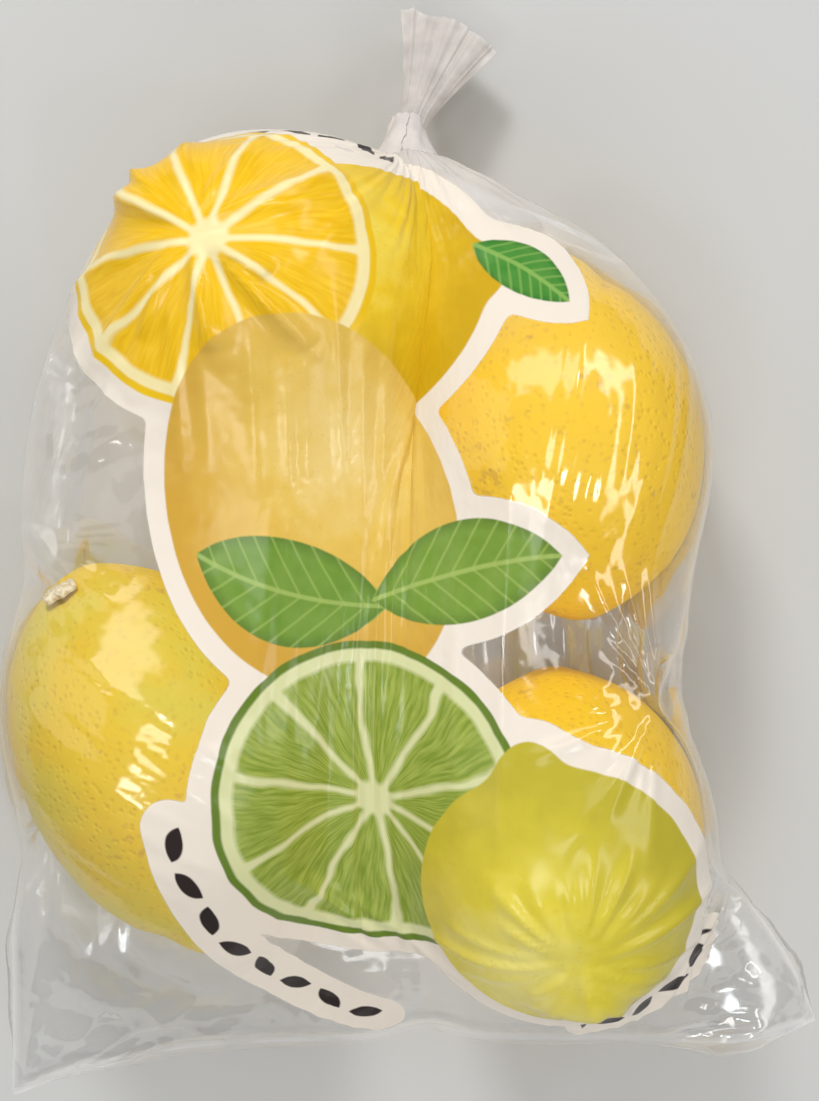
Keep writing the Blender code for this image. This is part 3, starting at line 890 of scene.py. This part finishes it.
def printed_film_group():
    """The print on the bag's front: fruit, slices and leaves, with a pale border cut round all of them."""
    tree, given, give = new_group("printed_film", {"Vector": "Place"}, {"Color": "Color", "Float": "Ink"})
    wheel, fruit, leaf, row = citrus_wheel_group(), whole_fruit_group(), leaf_group(), leaf_row_group()
    wobble = noise(tree, given["Place"], 55) - 0.5
    mottle = noise(tree, given["Place"], 150, 3.0)
    pores = put(tree, "ShaderNodeTexVoronoi", {"Vector": given["Place"], "Scale": 620.0})

    def motif(group, centre, turn, colours=None, **values):
        """The group's motif, seen from its own centre with its long side along X."""
        mapping = {"Vector": given["Place"], "Location": (*centre, 0), "Rotation": (0, 0, math.radians(turn))}
        inputs = {"Place": put(tree, "ShaderNodeMapping", mapping, vector_type="TEXTURE")}
        inputs |= {name.replace("_", " "): value for name, value in values.items()}
        inputs |= {name: srgb(*colour) for name, colour in (colours or {}).items()}
        return use_group(tree, group, inputs)

    motifs = []
    for centre, turn, half_length, half_width, *colours in PRINTED_FRUIT:
        colours = dict(zip(("Peel", "Shade", "Shine"), colours))
        sizes = {"Half_Length": half_length, "Half_Width": half_width}
        motifs.append(motif(fruit, centre, turn, colours, Mottle=mottle, Pores=pores, **sizes))
    for centre, turn, radius, *colours in PRINTED_WHEELS:
        colours = dict(zip(("Rind", "Pith", "Flesh", "Pulp"), colours))
        motifs.append(motif(wheel, centre, turn, colours, Wobble=wobble, Radius=radius))
    motifs = [motifs[number] for number in PRINT_ORDER]
    for centre, turn, length, width, *colours in PRINTED_LEAVES:
        colours = dict(zip(("Blade", "Vein"), colours))
        motifs.append(motif(leaf, centre, turn, colours, Mottle=mottle, Length=length, Width=width))
    outline = dark = None
    for centre, turn, radius, half_angle, step, band in PRINTED_ROWS:
        sizes = {"Half_Angle": math.radians(half_angle), "Step": math.radians(step), "Band": band}
        found = motif(row, centre, turn, Radius=radius, **sizes)
        outline = found["Band"] if outline is None else outline.least(found["Band"])
        dark = found["Leaf"] if dark is None else dark.least(found["Leaf"])
    colour = blend(tree, dark.ramp(PRINT_EDGE, -PRINT_EDGE), srgb(*PRINT_WHITE), srgb(*PRINT_DARK))
    for found in motifs:
        colour = blend(tree, found["Distance"].ramp(PRINT_EDGE, -PRINT_EDGE), colour, found["Color"])
        outline = outline.math("SMOOTH_MIN", found["Distance"] - BORDER, BORDER_ROUNDING)
    give(Color=colour, Ink=outline.ramp(PRINT_EDGE, -PRINT_EDGE))
    return tree


def film_material(name, printed):
    """Clear glossy film, milky near the neck and along the hems. Near the neck it is tinted darker, a painted shade,
    and low down it is whiter, a painted sheen. Ink makes it opaque.
    """
    material, tree, place = new_material(name)
    clouds = noise(tree, place, 26, 1.0)
    mirror = put(tree, "ShaderNodeFresnel", {"IOR": 1.5})
    from_neck = put(tree, "ShaderNodeVectorMath", {0: place, 1: NECK_BASE}, output=1, operation="DISTANCE")
    hem = put(tree, "ShaderNodeAttribute", {}, output="Fac", attribute_name="hem")
    shoulder = from_neck.ramp(0.064, 0.008) ** 1.3
    haze_and_sheen = shoulder + clouds.ramp(0.35, 0.7) * 0.05 + 0.015
    # The hems are milky. Low down the film is made whiter: a painted sheen for light reflected off the low film.
    haze_and_sheen = haze_and_sheen + hem * 0.55 + place.parts()[2].ramp(0.040, 0.006) * 0.14
    # Painted shade: near the neck the film is tinted towards the darker beige, for the dim inside of the neck.
    colour = blend(tree, shoulder * 0.8, CLEAR_TINT, SHOULDER_SHADE)
    alpha = (mirror * FILM_MIRROR + haze_and_sheen).least(MOST_OPAQUE)
    metallic = (haze_and_sheen * -1.2 + 0.95).most(0.0)
    roughness = clouds * 0.12 + 0.05
    if printed:
        uv = put(tree, "ShaderNodeUVMap", {}, uv_map="flat_film")
        mapping = {"Vector": uv, "Location": (0.5, 0.5, 0), "Scale": (1 / FLAT_WIDTH,) * 3}
        flat = put(tree, "ShaderNodeMapping", mapping, vector_type="TEXTURE")
        art = use_group(tree, printed_film_group(), {"Place": flat})
        ink = art["Ink"]
        inside = put(tree, "ShaderNodeNewGeometry", {}, output="Backfacing")
        colour = blend(tree, ink, colour, blend(tree, inside, art["Color"], srgb(*PRINT_WHITE)))
        alpha = alpha.most(ink)
        metallic = (ink * -1 + 1) * metallic
        roughness = roughness + ink * 0.10
    shade(tree, {"Base Color": colour, "Alpha": alpha, "Metallic": metallic, "Roughness": roughness})
    return material


def near_print(places):
    """Whether there may be ink at each place on the flat film."""
    rounds = [(motif[0], motif[2] + FRUIT_MARGIN) for motif in PRINTED_FRUIT + PRINTED_WHEELS]
    rounds += [(motif[0], motif[2] / 2 + LEAF_MARGIN) for motif in PRINTED_LEAVES]
    near = np.zeros(places.shape[:2], dtype=bool)
    for centre, reach in rounds:
        near |= lengths_of(places - np.array(centre)) < reach
    for centre, turn, radius, half_angle, _, band in PRINTED_ROWS:
        away = places - np.array(centre)
        aside = (np.degrees(np.arctan2(away[..., 1], away[..., 0])) - turn + 180) % 360 - 180
        beside = np.abs(lengths_of(away) - radius) < band + ROW_MARGIN
        near |= beside & (np.abs(aside) < half_angle + ROW_END_MARGIN)
    return near


def claim(piece, replaces=None):
    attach(piece, "root")
    if replaces:
        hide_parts(replaces)


class FilmSettings(bpy.types.PropertyGroup):
    """The bag's film."""

    seed: IntProperty(name="Seed", description="Chooses the wrinkles", default=7)


class LOOK_OT_film(bpy.types.Operator):
    """Lay the film over the lemons, with its wrinkles and its print"""

    bl_idname = "lemons.film"
    bl_label = "Film"

    def execute(self, context):
        rng = np.random.default_rng(context.scene.film_settings.seed)
        rings = settled(bag_before_settling())
        half = AROUND // 2
        back_rings = rings[:, [0, *range(AROUND - 1, half - 1, -1)]]
        tight_back = smooth_sheet(back_rings, BACK_COLUMNS, -1, None)
        tight_front = smooth_sheet(rings[:, : half + 1], FRONT_COLUMNS, 1, back_rings)
        flat_back, flat_front = flattened(tight_back), flattened(tight_front)
        back = wrinkled(tight_back, flat_back, fold_lines(BACK_STARS, [], rng), BACK_CRUMPLES, rng)
        under = resampled(back, SHEET_ROWS, FRONT_COLUMNS)
        front = wrinkled(tight_front, flat_front, fold_lines(FOLD_STARS, FOLD_BANDS, rng), CRUMPLES, rng, under)
        clear = film_material("clear_film", False)
        sides = (("film_front", front, flat_front, (0, 1, 2, 3)), ("film_back", back, flat_back, (3, 2, 1, 0)))
        for name, sheet, flat, corner_order in sides:
            piece = grid_object(name, sheet, corner_order)
            lay_out_film(piece.data, flat)
            piece.visible_shadow = False
            piece.visible_diffuse = False
            piece.data.materials.append(clear)
            claim(piece, "film_bag")
            if sheet is front:
                piece.data.materials.append(film_material("printed_film", True))
                middles = (flat[:-1, :-1] + flat[1:, 1:])[..., :2] / 2
                piece.data.polygons.foreach_set("material_index", near_print(middles).astype(np.int32).reshape(-1))
        return {"FINISHED"}


def peel_group():
    """Lemon peel: pores, broad mottling and a few scuffs."""
    found = bpy.data.node_groups.get("lemon_peel")
    if found:
        return found
    outputs = {"Color": "Color", "Float": "Roughness, Height"}
    tree, given, give = new_group("lemon_peel", {"Vector": "Place", "Float": "Green, Warm"}, outputs)
    pores = put(tree, "ShaderNodeTexVoronoi", {"Vector": given["Place"], "Scale": 560.0})
    fine = noise(tree, given["Place"], 420, 3.0)
    broad = noise(tree, given["Place"], 38, 3.0)
    patches = noise(tree, given["Place"], 110, 4.0)
    colour = blend(tree, given["Warm"], srgb(233, 196, 22), srgb(254, 205, 8))
    colour = blend(tree, broad.ramp(0.42, 0.62) * given["Green"], colour, srgb(212, 206, 72))
    colour = blend(tree, patches.ramp(0.52, 0.75) * 0.25, colour, srgb(238, 184, 34))
    colour = blend(tree, pores.ramp(0.30, 0.08) * 0.28, colour, srgb(216, 160, 24))
    colour = blend(tree, (patches * fine).ramp(0.36, 0.42) * 0.4, colour, srgb(190, 140, 60))
    height = pores.ramp(0.05, 0.42) * 0.7 + fine * 0.3 + patches * 0.6
    give(Color=colour, Roughness=fine * 0.15 + 0.45, Height=height)
    return tree


def peel_material(name, green, warm):
    """Glossy lemon peel with pores, mottled between two yellows."""
    material, tree, place = new_material(name)
    skin = use_group(tree, peel_group(), {"Place": place, "Green": green, "Warm": warm})
    bump = bumps(tree, skin["Height"], 0.7, 0.0004)
    shade(tree, {"Base Color": skin["Color"], "Roughness": skin["Roughness"], "Normal": bump})
    return material


def turned_from_up(direction):
    """The turn that takes straight up to this direction."""
    return Vector((0, 0, 1)).rotation_difference(Vector(direction)).to_matrix()


class LemonSettings(bpy.types.PropertyGroup):
    """The lemons."""

    unevenness: FloatProperty(
        name="Unevenness", description="How far the skin dips in", default=0.0010, unit="LENGTH", subtype="DISTANCE"
    )


class LOOK_OT_lemons(bpy.types.Operator):
    """Put the four lemons in the bag"""

    bl_idname = "lemons.lemons"
    bl_label = "Lemons"

    def execute(self, context):
        rng = np.random.default_rng(LEMON_SEED)
        unevenness = context.scene.lemon_settings.unevenness
        for lemon in LEMONS:
            bpy.ops.object.select_all(action="DESELECT")
            bpy.ops.mesh.primitive_uv_sphere_add(segments=LEMON_SEGMENTS, ring_count=LEMON_RINGS, radius=1)
            piece = context.object
            piece.name = piece.data.name = "lemon_" + lemon["name"]
            unit = np.empty((len(piece.data.vertices), 3))
            piece.data.vertices.foreach_get("co", unit.reshape(-1))
            centre, axis = lemon_frame(lemon)
            direction = unit @ np.array(turned_from_up(axis)).T
            angle = np.arccos(np.clip(unit[:, 2], -1, 1))
            dips = np.zeros(len(unit))
            for count, strength, fewest, most in DIPS:
                for _ in range(count):
                    wave = rng.normal(size=3) * rng.uniform(fewest, most)
                    dips += strength * np.sin(unit @ wave + rng.uniform(0, 2 * math.pi))
            dips = (dips - dips.max()) / (dips.max() - dips.min())
            collar = -COLLAR["depth"] * np.exp(-(((angle - COLLAR["at"]) / COLLAR["spread"]) ** 2))
            from_button = np.arccos(np.clip(direction @ button_direction(lemon), -1, 1))
            dimple = -DIMPLE["depth"] * np.exp(-((from_button / DIMPLE["spread"]) ** 2))
            reach = lemon_reach(lemon, angle) + unevenness * dips + collar + dimple
            piece.data.vertices.foreach_set("co", (centre + direction * reach[:, None]).reshape(-1))
            bpy.ops.object.shade_smooth()
            piece.data.materials.append(peel_material("peel_" + lemon["name"], lemon["green"], lemon["warm"]))
            claim(piece, "film_bag")
        return {"FINISHED"}


class LOOK_OT_calyx(bpy.types.Operator):
    """Set the dried calyx in the stem end of the lower left lemon"""

    bl_idname = "lemons.calyx"
    bl_label = "Calyx"

    def execute(self, context):
        rng = np.random.default_rng(CALYX_SEED)
        centre, axis = lemon_frame(CALYX_LEMON)
        outward = button_direction(CALYX_LEMON)
        bpy.ops.object.select_all(action="DESELECT")
        bpy.ops.mesh.primitive_cylinder_add(
            vertices=CALYX_CORNERS, radius=CALYX_RADIUS, depth=CALYX_DEPTH, location=(0, 0, 0)
        )
        piece = context.object
        piece.name = piece.data.name = "calyx"
        bpy.ops.object.mode_set(mode="EDIT")
        bpy.ops.mesh.select_all(action="DESELECT")
        mesh = bmesh.from_edit_mesh(piece.data)
        for face in mesh.faces:
            face.select = face.normal.z > 0.9
        bmesh.update_edit_mesh(piece.data)
        for thickness, depth in CALYX_INSETS:
            bpy.ops.mesh.inset(thickness=thickness, depth=depth)
        bpy.ops.mesh.poke()
        bpy.ops.mesh.select_all(action="SELECT")
        bpy.ops.mesh.subdivide(number_cuts=1, smoothness=0.2)
        bpy.ops.object.mode_set(mode="OBJECT")
        lobes = rng.uniform(*CALYX_LOBE_REACH, CALYX_LOBES) * np.tile((1.0, CALYX_SHORT_LOBE), CALYX_LOBES // 2)
        turn = turned_from_up(outward)
        seat = centre + outward * (lemon_reach(CALYX_LEMON, math.acos(outward @ axis)) - CALYX_SUNK)
        for vertex in piece.data.vertices:
            x, y, z = vertex.co
            around = math.atan2(y, x) / (2 * math.pi) * len(lobes)
            low = int(math.floor(around))
            share = around - low
            lobe = lobes[low % len(lobes)] * (1 - share) + lobes[(low + 1) % len(lobes)] * share
            bent = Vector((x * lobe, y * lobe, z + rng.uniform(-CALYX_ROUGHNESS, CALYX_ROUGHNESS)))
            vertex.co = turn @ bent + Vector(seat)
        bpy.ops.object.shade_smooth()
        material, tree, place = new_material("dried_calyx")
        grain = noise(tree, place, 900, 4.0)
        colour = blend(tree, grain.ramp(0.35, 0.65), srgb(212, 184, 132), srgb(246, 236, 208))
        shade(tree, {"Base Color": colour, "Roughness": grain * 0.2 + 0.6})
        piece.data.materials.append(material)
        claim(piece, "film_bag")
        return {"FINISHED"}


def tuft_material(name):
    """Many layers of gathered film, milky but glossy."""
    material, tree, place = new_material(name)
    grain = noise(tree, place, 180)
    edge = put(tree, "ShaderNodeLayerWeight", {"Blend": 0.35}, output="Facing")
    colour = blend(tree, grain.ramp(0.3, 0.7), srgb(208, 201, 195), srgb(232, 225, 218))
    bump = bumps(tree, grain, 0.2, 0.0003)
    shade(tree, {"Base Color": colour, "Alpha": edge * 0.35 + 0.6, "Roughness": grain * 0.15 + 0.08})
    shade(tree, {"IOR": TUFT_IOR, "Normal": bump})
    return material


class LOOK_OT_tuft(bpy.types.Operator):
    """Fan out the gathered end of the bag beyond the tape"""

    bl_idname = "lemons.tuft"
    bl_label = "Tuft"

    def execute(self, context):
        rng = np.random.default_rng(TUFT_SEED)
        heading = math.radians(TUFT_HEADING)
        forward = np.array([TUFT_LENGTH * math.cos(heading), TUFT_LENGTH * math.sin(heading), -TUFT_DROP])
        side = np.array([math.sin(heading), -math.cos(heading), 0])
        up = np.cross(side, forward / np.linalg.norm(forward))
        tucked = np.subtract(NECK_TOP, NECK_BASE) * TUFT_TUCK
        turn = 2 * math.pi * np.arange(TUFT_AROUND) / TUFT_AROUND
        rows = np.linspace(0, 1, TUFT_ROWS)[:, None]
        across, face = np.cos(turn), np.sin(turn)
        opening = np.clip((rows - TUFT_OPENS_AT) / (1 - TUFT_OPENS_AT), 0, 1)
        for number, spread in enumerate(TUFT_LAYERS):
            folds = np.zeros(TUFT_AROUND)
            for waves, height in TUFT_FOLDS:
                pleat = np.abs(((waves * across + rng.uniform(0, 2)) % 2) - 1)
                folds += height * (pleat * pleat * (3 - 2 * pleat) - 0.5)
            ragged = 0.02 * np.sin(across * 5 + 1) + 0.008 * np.sin(across * 15 + number) - 0.07 * across**6
            run = rows * (1 + ragged * rows)
            width = TUFT_BASE_WIDTH * 0.9 + (TUFT_WIDTH - TUFT_BASE_WIDTH) * opening**1.15 * (0.8 + 0.2 * spread)
            thick = (0.0030 - 0.0016 * opening) * spread
            depth = (0.0004 + 0.0011 * opening) * spread
            lift = thick * face * (np.abs(face) ** 0.2) + depth * folds * np.abs(face) ** 0.5
            sideways = width / 2 * across + 0.0004 * opening * np.sin(9 * turn + 2)
            points = np.array(NECK_TOP) - tucked + run[..., None] * (forward + tucked)
            points = points + sideways[..., None] * side + lift[..., None] * up
            points[..., 2] = np.maximum(points[..., 2], FILM_GAP)
            piece = grid_object(f"tuft_{number}", points, closed=True)
            piece.data.materials.append(tuft_material(piece.name))
            claim(piece, "film_bag")
        return {"FINISHED"}


def zigzag(place):
    """Up and down between 0 and 1, once for each whole step."""
    return np.abs(place % 1 * 2 - 1)


class LOOK_OT_tape(bpy.types.Operator):
    """Wrap the white tape round the neck, with its end lapped over"""

    bl_idname = "lemons.tape"
    bl_label = "Tape"

    def execute(self, context):
        rng = np.random.default_rng(TAPE_SEED)
        run = np.linspace(0, 1, TAPE_COLUMNS)[None, :]
        rows = np.linspace(0, 1, TAPE_ROWS)[:, None]
        torn = 0.40 * (rows - 0.5) + 0.09 * zigzag(rows * 3.3) + 0.04 * zigzag(rows * 8.7)
        turn = TAPE_OUTER_END + TAPE_TURN * (1 - run) - torn * run**6
        hem = TAPE_START - TAPE_APRON * np.maximum(0, np.sin(turn)) ** 0.6
        share = hem + (TAPE_END - hem) * rows
        radius = NECK_BASE_RADIUS + (NECK_TOP_RADIUS - NECK_BASE_RADIUS) * np.maximum(share, 0)
        radius = radius + TAPE_OFF_NECK + run * TAPE_LAP
        radius = radius + TAPE_FLARE * np.maximum(0, 0.25 - share) * np.abs(np.cos(turn))
        creases = np.zeros((TAPE_ROWS, TAPE_COLUMNS))
        for _ in range(TAPE_CREASES):
            slant, waves, phase = rng.uniform(-9, 9), rng.integers(3, 14), rng.uniform(0, 6)
            creases += np.sin(slant * share + waves * turn + phase) / waves
        radius = radius + TAPE_CREASE_HEIGHT * creases
        along = share + 0.025 * np.sin(turn + 0.6) + 0.012 * np.sin(3 * turn)
        points = np.array(NECK_BASE) + along[..., None] * np.subtract(NECK_TOP, NECK_BASE)
        piece = grid_object("tape", points + radius[..., None] * round_neck(turn))
        bpy.ops.object.select_all(action="DESELECT")
        context.view_layer.objects.active = piece
        piece.select_set(True)
        solid = piece.modifiers.new("thickness", "SOLIDIFY")
        solid.thickness = TAPE_THICKNESS
        solid.offset = 1
        bpy.ops.object.modifier_apply(modifier=solid.name)
        material, tree, place = new_material("white_tape")
        grain = noise(tree, place, 700, 3.0)
        wrinkle = noise(tree, place, 160, 3.0)
        bump = bumps(tree, grain * 0.3 + wrinkle, 0.35, 0.0003)
        # The tape is darker in the hollows of its crinkles and lighter on their crests: painted shade and painted
        # light that follow the same noise as its bump.
        colour = blend(tree, wrinkle.ramp(0.35, 0.65), srgb(206, 199, 194), srgb(222, 213, 206))
        shade(tree, {"Base Color": colour, "Roughness": grain * 0.2 + 0.35, "Normal": bump})
        piece.data.materials.append(material)
        claim(piece, "neck_tape")
        return {"FINISHED"}


class LOOK_OT_stage(bpy.types.Operator):
    """Add the floor, the lights and the camera"""

    bl_idname = "lemons.stage"
    bl_label = "Stage"

    def execute(self, context):
        bpy.ops.object.select_all(action="DESELECT")
        bpy.ops.mesh.primitive_plane_add(size=FLOOR_SIZE, location=(0, 0, -FLOOR_GAP))
        floor = context.object
        floor.name = "floor"
        material, tree, _ = new_material("pale_floor")
        shade(tree, {"Base Color": FLOOR_COLOUR, "Roughness": 0.6})
        floor.data.materials.append(material)
        world = bpy.data.worlds.new("studio")
        world.use_nodes = True
        background = world.node_tree.nodes["Background"]
        background.inputs["Color"].default_value = (1, 1, 1, 1)
        background.inputs["Strength"].default_value = AMBIENT
        context.scene.world = world
        context.scene.view_settings.view_transform = "Standard"
        for row in LIGHTS:
            light = bpy.data.lights.new(row["name"], "AREA")
            light.shape = "RECTANGLE"
            light.size, light.size_y = row["size"]
            light.energy = row["power"]
            light.color = row["colour"]
            lamp = bpy.data.objects.new(row["name"], light)
            context.collection.objects.link(lamp)
            lamp.location = row["place"]
            lamp.rotation_euler = (Vector(LIGHTS_LOOK_AT) - lamp.location).to_track_quat("-Z", "Y").to_euler()
            lamp.visible_camera = False
            lamp.visible_glossy = row["in_reflections"]
        camera = bpy.data.cameras.new("camera")
        camera.sensor_fit = "VERTICAL"
        camera.sensor_height = 24
        camera.lens = camera.sensor_height * PHOTO_FOCUS / PHOTO_HEIGHT
        eye = bpy.data.objects.new("camera", camera)
        eye.location = (*PHOTO_CENTRE, CAMERA_HEIGHT)
        context.collection.objects.link(eye)
        context.scene.camera = eye
        return {"FINISHED"}


class LOOK_PT_bag(bpy.types.Panel):
    """The steps that build the bag"""

    bl_label = "Bag of Lemons"
    bl_space_type = "VIEW_3D"
    bl_region_type = "UI"
    bl_category = "Lemons"

    def draw(self, context):
        scene = context.scene
        self.layout.prop(scene.film_settings, "seed")
        self.layout.prop(scene.lemon_settings, "unevenness")
        for step in STEPS:
            self.layout.operator(step.bl_idname)


STEPS = (LOOK_OT_film, LOOK_OT_lemons, LOOK_OT_calyx, LOOK_OT_tuft, LOOK_OT_tape, LOOK_OT_stage)
CLASSES = (FilmSettings, LemonSettings, *STEPS, LOOK_PT_bag)


def register():
    for cls in CLASSES:
        bpy.utils.register_class(cls)
    bpy.types.Scene.film_settings = PointerProperty(type=FilmSettings)
    bpy.types.Scene.lemon_settings = PointerProperty(type=LemonSettings)


def unregister():
    del bpy.types.Scene.film_settings
    del bpy.types.Scene.lemon_settings
    for cls in reversed(CLASSES):
        bpy.utils.unregister_class(cls)


def main():
    register()
    bpy.ops.lemons.film()
    bpy.ops.lemons.lemons()
    bpy.ops.lemons.calyx()
    bpy.ops.lemons.tuft()
    bpy.ops.lemons.tape()
    bpy.ops.lemons.stage()


if __name__ == "__main__":
    main()
